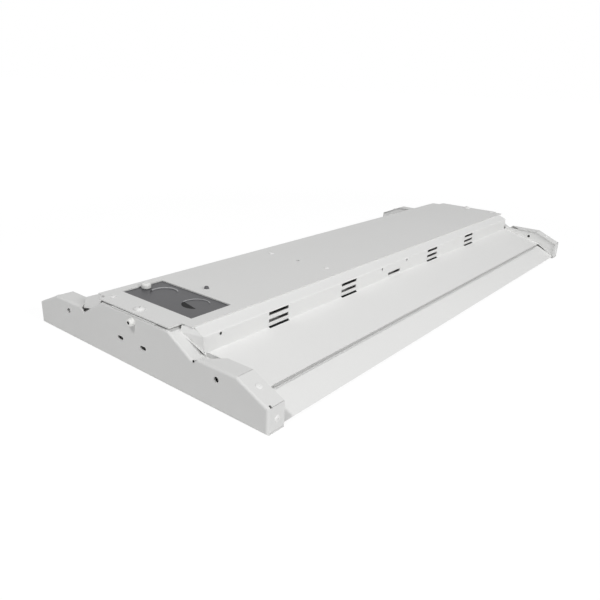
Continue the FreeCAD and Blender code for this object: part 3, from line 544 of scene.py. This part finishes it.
def recessArm(tree, sizes, long, wide):
    # a block for one arm of a recess, narrower at its foot, which stands at the recess depth
    block = fastener["recessBlock"]
    depth = maths(tree, "MULTIPLY", sizes["Head Height"], block)
    arm = addNode(tree, "GeometryNodeMeshCube", Size=vector(tree, X=long, Y=wide, Z=depth))
    spot = addNode(tree, "GeometryNodeInputPosition").outputs[0]
    z = addNode(tree, "ShaderNodeSeparateXYZ", Vector=spot).outputs[2]
    above = maths(tree, "GREATER_THAN", z, 0.0)
    scale = ranged(tree, above, fastener["recessFoot"], fastener["recessTop"])
    lift = maths(tree, "MULTIPLY_ADD", sizes["Head Height"],
                 block / 2 + 1 - fastener["recessDepth"], z)
    scaled = addNode(tree, "ShaderNodeVectorMath", {"operation": "SCALE"}, i0=spot, Scale=scale)
    kept = addNode(tree, "ShaderNodeSeparateXYZ", Vector=scaled.outputs[0]).outputs
    return addNode(tree, "GeometryNodeSetPosition", Geometry=arm.outputs["Mesh"],
                   Position=vector(tree, X=kept[0], Y=kept[1], Z=lift)).outputs[0]


def fastenerTree(name, sideCount, recess):
    tree, sizes = newTree(name, Head_Width="Float", Head_Height="Float", Shank_Width="Float",
                          Shank_Length="Float", Rim="Float", Finish="Material", Seed="Int")
    reach, width, pin = (maths(tree, "MULTIPLY", sizes["Head Width"], fastener[share])
                         for share in ("recessReach", "recessWidth", "pinWidth"))
    arms = {
        "cross": [(reach, width), (width, reach)],
        "slot": [(reach, width)],
        "pin": [(pin, pin)],
    }[recess]
    cutters = [recessArm(tree, sizes, long, wide) for long, wide in arms]
    head = without(tree, headShape(tree, sizes, sideCount), *cutters)
    shank = addNode(tree, "GeometryNodeMeshCylinder", Vertices=fastener["shankSides"],
                    Radius=maths(tree, "DIVIDE", sizes["Shank Width"], 2.0),
                    Depth=sizes["Shank Length"])
    down = vector(tree, Z=maths(tree, "DIVIDE", sizes["Shank Length"], -2.0))
    smooth = sharpEdges(tree, joined(tree, shifted(tree, shank.outputs["Mesh"], down), head))
    # any turn up to half a circle, as a screwdriver leaves them
    turn = addNode(tree, "FunctionNodeRandomValue", {"data_type": "FLOAT"}, i3=math.pi,
                   Seed=sizes["Seed"])
    spun = addNode(tree, "FunctionNodeRotateRotation", {"rotation_space": "LOCAL"},
                   Rotation=facingTurn(tree), i1=vector(tree, Z=turn.outputs[1]))
    placed = addNode(tree, "GeometryNodeInstanceOnPoints", Points=sizes["Geometry"],
                     Instance=smooth, Rotation=spun.outputs[0])
    closeTree(tree, placed.outputs[0], sizes["Finish"])
    return tree


def addFasteners(nodes, tree, rim):
    for node in nodes:
        found = [measureFastener(corners) for corners in solidsOf(node)]
        places, axes, sizes = zip(*found)
        heads = pointMesh(f"{node}_heads", places, axes)
        growMesh(heads, tree, sizes[0] | {
            "Rim": fastener[rim], "Finish": finishes[slotOf[node]], "Seed": fastener["seed"],
        })
        standFor(heads, node)


crossHead = fastenerTree("cross recess screw", fastener["domeSides"], "cross")
pinHead = fastenerTree("blind rivet", fastener["domeSides"], "pin")
boltHead = fastenerTree("hexagon bolt", fastener["boltSides"], "slot")
addFasteners(("cover_screws", "end_screws"), crossHead, "domeRim")
addFasteners(("cover_rivets", "strap_rivets", "side_rivets", "slope_rivets"), pinHead, "domeRim")
addFasteners(("driver_screws", "ground_screw"), boltHead, "boltRim")
print("fasteners set")


# Light-emitting packages: one white frame with a yellow well for each place on the boards

package = {
    "well": 0.62,  # width of the yellow well as a share of the package
    "wall": 0.12 * mm,  # height of the frame over the well
    "fillWidth": 0.99,  # width of the fill as a share of the well
    "fillHeight": 0.9,  # in walls
    "fillDrop": 0.52,  # how far the middle of the fill lies under the top of the frame, in walls
}


def packageTree():
    tree, sizes = newTree("light package", Length="Float", Width="Float", Height="Float",
                          Well="Float", Wall="Float", Frame_Finish="Material",
                          Well_Finish="Material")

    def times(first, second):
        return maths(tree, "MULTIPLY", first, second)

    def block(length, width, height, lift):
        cube = addNode(tree, "GeometryNodeMeshCube",
                       Size=vector(tree, X=length, Y=width, Z=height))
        return shifted(tree, cube.outputs["Mesh"], vector(tree, Z=lift))

    wellLength = times(sizes["Length"], sizes["Well"])
    wellWidth = times(sizes["Width"], sizes["Well"])
    top = times(sizes["Height"], 0.5)
    body = block(sizes["Length"], sizes["Width"], sizes["Height"], 0.0)
    rim = without(tree, body, block(wellLength, wellWidth, times(sizes["Wall"], 2.0), top))
    lift = maths(tree, "SUBTRACT", top, times(sizes["Wall"], package["fillDrop"]))
    fill = block(times(wellLength, package["fillWidth"]), times(wellWidth, package["fillWidth"]),
                 times(sizes["Wall"], package["fillHeight"]), lift)
    marked = addNode(tree, "GeometryNodeStoreNamedAttribute",
                     {"data_type": "BOOLEAN", "domain": "FACE"}, Geometry=fill,
                     Name="in_well", Value=True)
    placed = addNode(tree, "GeometryNodeInstanceOnPoints", Points=sizes["Geometry"],
                     Instance=joined(tree, rim, marked.outputs[0]), Rotation=facingTurn(tree))
    inWell = addNode(tree, "GeometryNodeInputNamedAttribute", {"data_type": "BOOLEAN"},
                     Name="in_well").outputs[0]
    closeTree(tree, placed.outputs[0], sizes["Frame Finish"], (inWell, sizes["Well Finish"]))
    return tree


def packageAxis(corners):
    # a package lies flat on its wing, so it looks along its shortest side, downwards
    edges = {round((a - b).length, 6): a - b for a in corners for b in corners if a != b}
    thin = edges[min(edges)].normalized()
    return thin if thin.z < 0 else -thin


def addPackages():
    solids = solidsOf("led_packages")
    places = [centreOf(corners) for corners in solids]
    axes = [packageAxis(corners) for corners in solids]
    along = Vector((0, 1, 0))
    directions = {"Length": axes[0].cross(along), "Width": along, "Height": axes[0]}
    sizes = {label: 2 * max(abs((corner - places[0]).dot(direction)) for corner in solids[0])
             for label, direction in directions.items()}
    carrier = pointMesh("led_packages_grown", places, axes)
    growMesh(carrier, packageTree(), sizes | {
        "Well": package["well"], "Wall": package["wall"],
        "Frame Finish": finishes["white_plastic"], "Well Finish": finishes["led_package"],
    })
    standFor(carrier, "led_packages")


addPackages()
print("packages set")


# Turned pieces: bushings, button, the access plate with its knockouts, and the wire hole


def turned(name, profile, place, axis, finish, sideCount=64):
    # a profile of radii and heights, carried round the axis; a radius of nought is one point
    net = bmesh.new()
    facing = Vector(axis).to_track_quat("Z", "Y").to_matrix()
    angles = [2 * math.pi * step / sideCount for step in range(sideCount)]
    rings = []
    for radius, height in profile:
        spots = [(radius * math.cos(a), radius * math.sin(a), height) for a in angles]
        rings.append([net.verts.new(facing @ Vector(spot) + place)
                      for spot in (spots if radius else spots[:1])])
    pairs = list(zip(rings, rings[1:]))
    if len(rings[0]) > 1 and len(rings[-1]) > 1:
        pairs.append((rings[-1], rings[0]))  # a ring closes on itself
    for lower, upper in pairs:
        for step in range(sideCount):
            after = (step + 1) % sideCount
            corners = [lower[step % len(lower)], lower[after % len(lower)],
                       upper[after % len(upper)], upper[step % len(upper)]]
            net.faces.new(list(dict.fromkeys(corners)))
    piece = netPiece(name, net, finish)
    smoothPiece(piece)
    return piece


def arc(centreRadius, centreHeight, size, start, end, steps=6):
    # points of a profile on a circle, with angles in degrees from outwards to upwards
    angles = [math.radians(start + (end - start) * step / steps) for step in range(steps + 1)]
    return [(centreRadius + size * math.cos(a), centreHeight + size * math.sin(a)) for a in angles]


bushing = {
    "edge": 0.9 * mm,
    "boreRadius": 1.25 * mm,
    "boreDepth": 2.4 * mm,
    "boreEdge": 0.25 * mm,
    "boreReach": 1.02,  # faces nearer to the axis than this, in bore radii, take painted shade
}


def addBushing(node, direction, plate):
    low, high = (Vector(corner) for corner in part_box(node))
    middle = (low + high) / 2
    radius = (high.x - low.x) / 2
    inner, outer = (high.y, low.y) if direction < 0 else (low.y, high.y)
    tall, stem = abs(outer - plate), abs(inner - plate)
    bore, boreEdge, edge = bushing["boreRadius"], bushing["boreEdge"], bushing["edge"]
    bottom = tall - bushing["boreDepth"]
    profile = [(0, -stem), (bore, -stem), (bore, 0), (radius, 0)]
    profile += arc(radius - edge, tall - edge, edge, 0, 90)
    profile += arc(bore + boreEdge, tall - boreEdge, boreEdge, 90, 180)
    profile += [(bore, bottom), (0, bottom)]
    foot = Vector((middle.x, plate, middle.z))
    piece = turned(f"{node}_turned", profile, foot, (0, direction, 0), finishes["white_plastic"])
    # the bore's faces get painted shade, flat black, where light hardly reaches
    piece.data.materials.append(paintedShadeBlack)
    for face in piece.data.polygons:
        away = face.center - foot
        if away.y * direction > 0 and away.xz.length < bore * bushing["boreReach"]:
            face.material_index = 1
    standFor(piece, node)


addBushing("end_bushing_front", -1, frontFace)
addBushing("end_bushing_rear", 1, rearFace)

button = {
    "edge": 1.9 * mm,  # rounding of the dome
    "foot": 0.8 * mm,  # rounding under the head
    "footSteps": 4,
    "stem": 0.4,  # width of the stem as a share of the head
    "seat": 1.0 * mm,  # from the top of the strap to the underside of the head
}


def addButton():
    low, high = (Vector(corner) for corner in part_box("access_button"))
    radius = (high.x - low.x) / 2
    seat = strapTop + button["seat"]
    tall, stem, stemRadius = high.z - seat, low.z - seat, radius * button["stem"]
    edge, under = button["edge"], button["foot"]
    profile = [(0, stem), (stemRadius, stem), (stemRadius, 0)]
    profile += arc(radius - under, under, under, -90, 0, button["footSteps"])
    profile += arc(radius - edge, tall - edge, edge, 0, 90)
    profile += [(0, tall)]
    foot = Vector(((low.x + high.x) / 2, (low.y + high.y) / 2, seat))
    piece = turned("access_button_turned", profile, foot, (0, 0, 1), finishes["white_plastic"])
    standFor(piece, "access_button")


addButton()

knockout = {
    "middle": -1.4 * mm,  # half way between the two
    "behind": 3.9 * mm,  # from the middle line of the access plate towards the far end
    "offset": 19.3 * mm,
    "radius": 11.1 * mm,
    "sideCount": 96,
    "depth": 0.5 * mm,
    "thickness": 2.0 * mm,
    "shadeDepth": 0.15 * mm,
    "shadeEase": 0.05 * mm,  # between the painted shade and the wall of the knockout
    "shadeChord": 5.0 * mm,  # the painted shade beside the pushed-in disc starts this far from its middle
    "shadeTurn": 12,  # degrees by which the painted shade is turned towards the left
    "shadeSteps": 24,
    "webRadius": 0.62 * mm,
    "pushedWebRadius": 0.4 * mm,
    "webStart": 52,  # degrees in plan; the painted highlight lies on the far side of the bead only
    "webSweep": 150,
    "webPoints": 40,
    "webSides": 12,
}


def carve(piece, cutter):
    # takes the cutter out of the piece and throws the cutter away
    boolean = piece.modifiers.new("carve", "BOOLEAN")
    boolean.operation = "DIFFERENCE"
    boolean.object = cutter
    settle(piece, boolean)
    bpy.data.objects.remove(cutter)


def webTree():
    # a bead along an arc
    tree, sizes = newTree("knockout web", Radius="Float", Bead_Radius="Float", Start="Float",
                          Sweep="Float", Place="Vector", Finish="Material")
    path = addNode(tree, "GeometryNodeCurveArc", {"mode": "RADIUS"},
                   Resolution=knockout["webPoints"], Radius=sizes["Radius"],
                   Start_Angle=sizes["Start"], Sweep_Angle=sizes["Sweep"])
    ring = addNode(tree, "GeometryNodeCurvePrimitiveCircle", {"mode": "RADIUS"},
                   Resolution=knockout["webSides"], Radius=sizes["Bead Radius"])
    bead = addNode(tree, "GeometryNodeCurveToMesh", Curve=path.outputs["Curve"],
                   Profile_Curve=ring.outputs["Curve"], Fill_Caps=True)
    moved = shifted(tree, bead.outputs[0], sizes["Place"])
    closeTree(tree, sharpEdges(tree, moved), sizes["Finish"])
    return tree


def addKnockoutShade(place):
    # painted shade beside the pushed-in disc, in flat black: the part of a circle beyond a chord,
    # towards the near left
    radius = knockout["radius"] - knockout["shadeEase"]
    start = math.asin(knockout["shadeChord"] / radius)
    first = math.pi + start - math.radians(knockout["shadeTurn"])
    step = (math.pi - 2 * start) / knockout["shadeSteps"]
    angles = [first + step * index for index in range(knockout["shadeSteps"] + 1)]
    rim = [place + Vector((radius * math.cos(a), radius * math.sin(a), 0)) for a in angles]
    slab("knockout_shade", rim, (0, 0, -knockout["depth"]), paintedShadeBlack)


def addAccessPlate():
    low, high = (Vector(corner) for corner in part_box("access_plate"))
    top = high.z
    low.z = top - knockout["thickness"]
    net = bmesh.new()
    bmesh.ops.create_cube(net, size=1.0, matrix=Matrix.Translation((low + high) / 2)
                          @ Matrix.Diagonal(high - low).to_4x4())
    plate = netPiece("access_plate_moulded", net, finishes["grey_plastic"])
    middle = Vector((knockout["middle"], (low.y + high.y) / 2 + knockout["behind"], top))
    radius, depth = knockout["radius"], knockout["depth"]
    profile = [(0, -depth), (radius, -depth), (radius, depth), (0, depth)]
    web = webTree()
    for name, side, bead in (("closed", -1, "webRadius"), ("pushed", 1, "pushedWebRadius")):
        place = middle + Vector((side * knockout["offset"], 0, 0))
        carve(plate, turned(f"{name}_cutter", profile, place, (0, 0, 1),
                            finishes["grey_plastic"], knockout["sideCount"]))
        arch = pointMesh(f"{name}_knockout_web", [], [])
        # the bead's pale colour is a painted highlight where the rim catches light
        growMesh(arch, web, {
            "Radius": radius, "Bead Radius": knockout[bead], "Finish": paintedHighlightBead,
            "Start": math.radians(knockout["webStart"]),
            "Sweep": math.radians(knockout["webSweep"]),
            "Place": place - Vector((0, 0, depth / 2)),
        })
        setOn(arch)
    addKnockoutShade(place - Vector((0, 0, knockout["shadeDepth"])))
    smoothPiece(plate)
    standFor(plate, "access_plate")


addAccessPlate()

wireHole = {
    "inset": 74 * mm,  # from the front end of the cover
    "seat": 2 * mm,  # from the top of the strap to the top of the cover
    "foot": 2.2 * mm,
    "top": 1.75 * mm,
    "bore": 0.9 * mm,
    "rise": 2.3 * mm,
    "sunk": 2 * mm,
    "edge": 0.45 * mm,
    "boreSteps": 4,
}


def addWireHoleLining():
    low, high = (Vector(corner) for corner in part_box("top_cover"))
    place = Vector(((low.x + high.x) / 2, low.y + wireHole["inset"], strapTop + wireHole["seat"]))
    bore, foot, edge = wireHole["bore"], wireHole["foot"], wireHole["edge"]
    profile = [(bore, -wireHole["sunk"]), (foot, -wireHole["sunk"]), (foot, edge)]
    profile += arc(wireHole["top"] - edge, wireHole["rise"] - edge, edge, 0, 90)
    profile += arc(bore + edge / 2, wireHole["rise"] - edge / 2, edge / 2, 90, 180,
                   wireHole["boreSteps"])
    setOn(turned("wire_hole_lining", profile, place, (0, 0, 1), darkRubber))


addWireHoleLining()
print("turned pieces set")


# Thin sheets and strips that the photograph shows between the larger pieces

strip = {
    "wall": 62.5 * mm,  # outer face of the channel wall
    "wallFoot": 28.3 * mm,
    "ventFoot": (0.85 * mm, 1.6 * mm),  # the painted shade in the lowest louvre goes this far up the wall and outwards
    "ventStarts": (82.5 * mm, 182 * mm, 349.5 * mm, 449 * mm),
    "ventLength": 24 * mm,
    "wingFall": 0.2376,  # fall of a wing for each length outwards
    "railFall": 0.6,  # and of a rail
    "proud": 0.06 * mm,
    "inside": 0.2 * mm,  # how far a strip reaches into the wall, and into the sheet under it
    "under": 0.5 * mm,
    "seamStart": 0.4 * mm,  # from the bend of the rail
    "seamWidth": 0.7 * mm,
    "seamInset": 30.5 * mm,  # from each end of the fixture
    "railBend": (113 * mm, 16.3 * mm),  # across and up
}


def addVentShade():
    # strips of painted shade, flat black, fill the lowest louvre of each row on both sides
    wall, foot, proud = strip["wall"], strip["wallFoot"], strip["proud"]
    up, out = strip["ventFoot"]
    inside, under = wall - strip["inside"], strip["under"]
    outer = foot - strip["wingFall"] * out
    half = [(inside, foot + up), (wall + proud, foot + up), (wall + proud, foot + proud),
            (wall + out, outer + proud), (wall + out, outer - under), (inside, foot - under)]
    for name, side in sides.items():
        outline = [(side * x, z) for x, z in half]
        for number, place in enumerate(strip["ventStarts"]):
            start = frontFace + place
            prism(f"vent_shade_{name}_{number}", outline, start, start + strip["ventLength"],
                  paintedShadeBlack, "grey_plastic")


def addSeams():
    # a grey strip of painted shade runs along the seam between each wing and its rail
    bend, height = strip["railBend"]
    inner = bend + strip["seamStart"]
    outer = inner + strip["seamWidth"]
    start = height - strip["railFall"] * (inner - bend)
    end = height - strip["railFall"] * (outer - bend)
    proud, under = strip["proud"], strip["under"]
    half = [(inner, start + proud), (outer, end + proud), (outer, end - under),
            (inner, start - under)]
    for name, side in sides.items():
        prism(f"seam_shade_{name}", [(side * x, z) for x, z in half],
              frontFace + strip["seamInset"], rearFace - strip["seamInset"], seamShadeGrey,
              "white_plastic")


flap = {  # at the front left corner; places are millimetres in the fixture's frame
    "outline": ((-70.5, -298.4, 28.8), (-47, -298.4, 38.0), (-53, -287, 46.0),
                (-78.3, -289, 35.8)),
    "thickness": 0.5 * mm,
    "slit": ((-70, 28.4), (-60, 32.3), (-60.4, 33.1), (-68, 31.3)),  # across and up
    "slitDepth": (-298.95 * mm, -298.55 * mm),
}


def addFlap():
    outline = [Vector(corner) * mm for corner in flap["outline"]]
    under = (0, flap["thickness"] / 2, -flap["thickness"])
    slab("corner_flap", outline, under, finishes["white_steel"])
    # a black prism of painted shade stands for the slit at the valley
    prism("corner_slit_shade", [(x * mm, z * mm) for x, z in flap["slit"]], *flap["slitDepth"],
          paintedShadeBlack, "grey_plastic")


tab = {  # beside the shoulder of each end plate
    "outline": ((43, -291, 41.2), (67.5, -290.5, 31.8), (62.3, -286.2, 29.0),
                (62.3, -286.2, 41.6), (52.5, -287, 45.9), (43, -289.2, 45.9)),
    "thickness": 0.5 * mm,
}


def addTabs():
    near = [Vector(corner) * mm for corner in tab["outline"]]
    count = len(near)
    # the outline isn't quite flat, so its two faces are fans of triangles
    faces = [(0, i, i + 1) for i in range(1, count - 1)]
    faces += [(count, count + i + 1, count + i) for i in range(1, count - 1)]
    faces += ringFaces(count)
    for name, along in ends.items():
        corners = [(-along * c.x, -along * (c.y + depth), c.z)
                   for depth in (0, tab["thickness"]) for c in near]
        facedPiece(f"shoulder_tab_{name}", corners, faces, finishes["white_steel"])


closer = {  # sheet across the end of each wing; places are across and up, in millimetres
    "outline": ((64.5, 27.0), (113, 15.2), (135, 1.8), (135, 18.4), (107.6, 30.9), (64.5, 30.9)),
    "depth": 285.4 * mm,  # from the middle; just behind the edge of the flange
    "thickness": 0.5 * mm,
    "hole": (98.5, 24.0, 1.7),  # across, up and radius
    "holeProud": 0.1 * mm,
    "holeDepth": 0.3 * mm,
    "holeSides": 24,
    "relief": (67.0, 29.4, 0.85),
    "reliefDepth": 300.03 * mm,
}


def disc(name, hole, side, depth, along):
    # a disc of painted shade for a hole: across, up and radius, at a depth and looking along
    x, z, radius = (size * mm for size in hole)
    bottom = -closer["holeDepth"]
    profile = [(0, bottom), (radius, bottom), (radius, 0), (0, 0)]
    setOn(turned(name, profile, Vector((side * x, depth, z)), (0, along, 0), paintedShadeBlack,
                 closer["holeSides"]))


def addClosers():
    for end, along in ends.items():
        near = along * closer["depth"]
        for name, side in sides.items():
            outline = [(side * x * mm, z * mm) for x, z in closer["outline"]]
            prism(f"wing_closer_{end}_{name}", outline, near, near + along * closer["thickness"],
                  finishes["white_steel"], "white_steel")
            disc(f"wing_closer_hole_{end}_{name}", closer["hole"], side,
                 near - along * closer["holeProud"], -along)
        disc(f"relief_hole_{end}", closer["relief"], -along, along * closer["reliefDepth"], along)


addVentShade()
addSeams()
addFlap()
addTabs()
addClosers()
print("sheets and strips set")


# Studio: pale floor, white surroundings and two soft lamps

studio = {
    "ambient": 0.3,  # what the surroundings give to dull surfaces
    "floorColour": "#E8E8E8",
    "floorShare": 0.88,  # share of plain white that the camera sees on the floor by the fixture
    "floorGlow": 1.06,  # strength of that white, so that the lit floor comes out white
    "floorFade": (0.5, 1.6),  # metres from the middle over which the share grows to the whole
    "floorSize": 40.0,
    "floorDrop": 0.2 * mm,
    "lampSize": 0.4,
    "lampDistance": 2.6,
    "lamps": {  # the side each lamp stands on, as x, y and z, and its power
        "frontLamp": ((0.10, -0.60, 0.80), 24.0),
        "sideLamp": ((0.90, -0.10, 0.45), 28.5),
    },
}
plainWhite = (1.0, 1.0, 1.0, 1.0)


def seenDirectly(tree):
    # 1 where the camera, a reflection or a clear piece looks straight at this surface
    path = addNode(tree, "ShaderNodeLightPath").outputs
    seen = maths(tree, "MAXIMUM", path["Is Camera Ray"], path["Is Glossy Ray"])
    return maths(tree, "MAXIMUM", seen, path["Is Transmission Ray"])


def lightWorld():
    world = bpy.data.worlds.new("studio")
    bpy.context.scene.world = world
    world.use_nodes = True
    tree = world.node_tree
    tree.nodes.clear()
    strength = ranged(tree, seenDirectly(tree), studio["ambient"], 1.0)
    background = addNode(tree, "ShaderNodeBackground", Color=plainWhite, Strength=strength)
    addNode(tree, "ShaderNodeOutputWorld", Surface=background.outputs[0])


def addFloor():
    half = studio["floorSize"] / 2
    corners = [(-half, -half, 0), (half, -half, 0), (half, half, 0), (-half, half, 0)]
    mesh = bpy.data.meshes.new("studioFloor")
    mesh.from_pydata(corners, [], [(0, 1, 2, 3)])
    floor = linkObject("studioFloor", mesh)
    floor.location.z = -studio["floorDrop"]
    # Paper: dull enough to hold a shadow, and white to the camera farther out.
    material, tree = newMaterial("paper backdrop")
    dull = addNode(tree, "ShaderNodeBsdfDiffuse", Color=linear(studio["floorColour"]))
    white = addNode(tree, "ShaderNodeEmission", Color=plainWhite, Strength=studio["floorGlow"])
    away = vectorLength(tree, objectPlace(tree))
    near = ranged(tree, away, studio["floorShare"], 1.0, *studio["floorFade"])
    share = maths(tree, "MULTIPLY", seenDirectly(tree), near)
    mixed = addNode(tree, "ShaderNodeMixShader", i0=share, i1=dull.outputs[0],
                    i2=white.outputs[0])
    closeMaterial(tree, mixed)
    mesh.materials.append(material)


def addLamp(name, side, power):
    lamp = bpy.data.lights.new(name, "AREA")
    lamp.size = studio["lampSize"]
    lamp.energy = power
    holder = linkObject(name, lamp)
    holder.location = Vector(side).normalized() * studio["lampDistance"]
    holder.rotation_euler = holder.location.to_track_quat("Z", "Y").to_euler()


lightWorld()
addFloor()
for name, (side, power) in studio["lamps"].items():
    addLamp(name, side, power)
bpy.context.scene.view_settings.view_transform = "Standard"
print("studio lit")
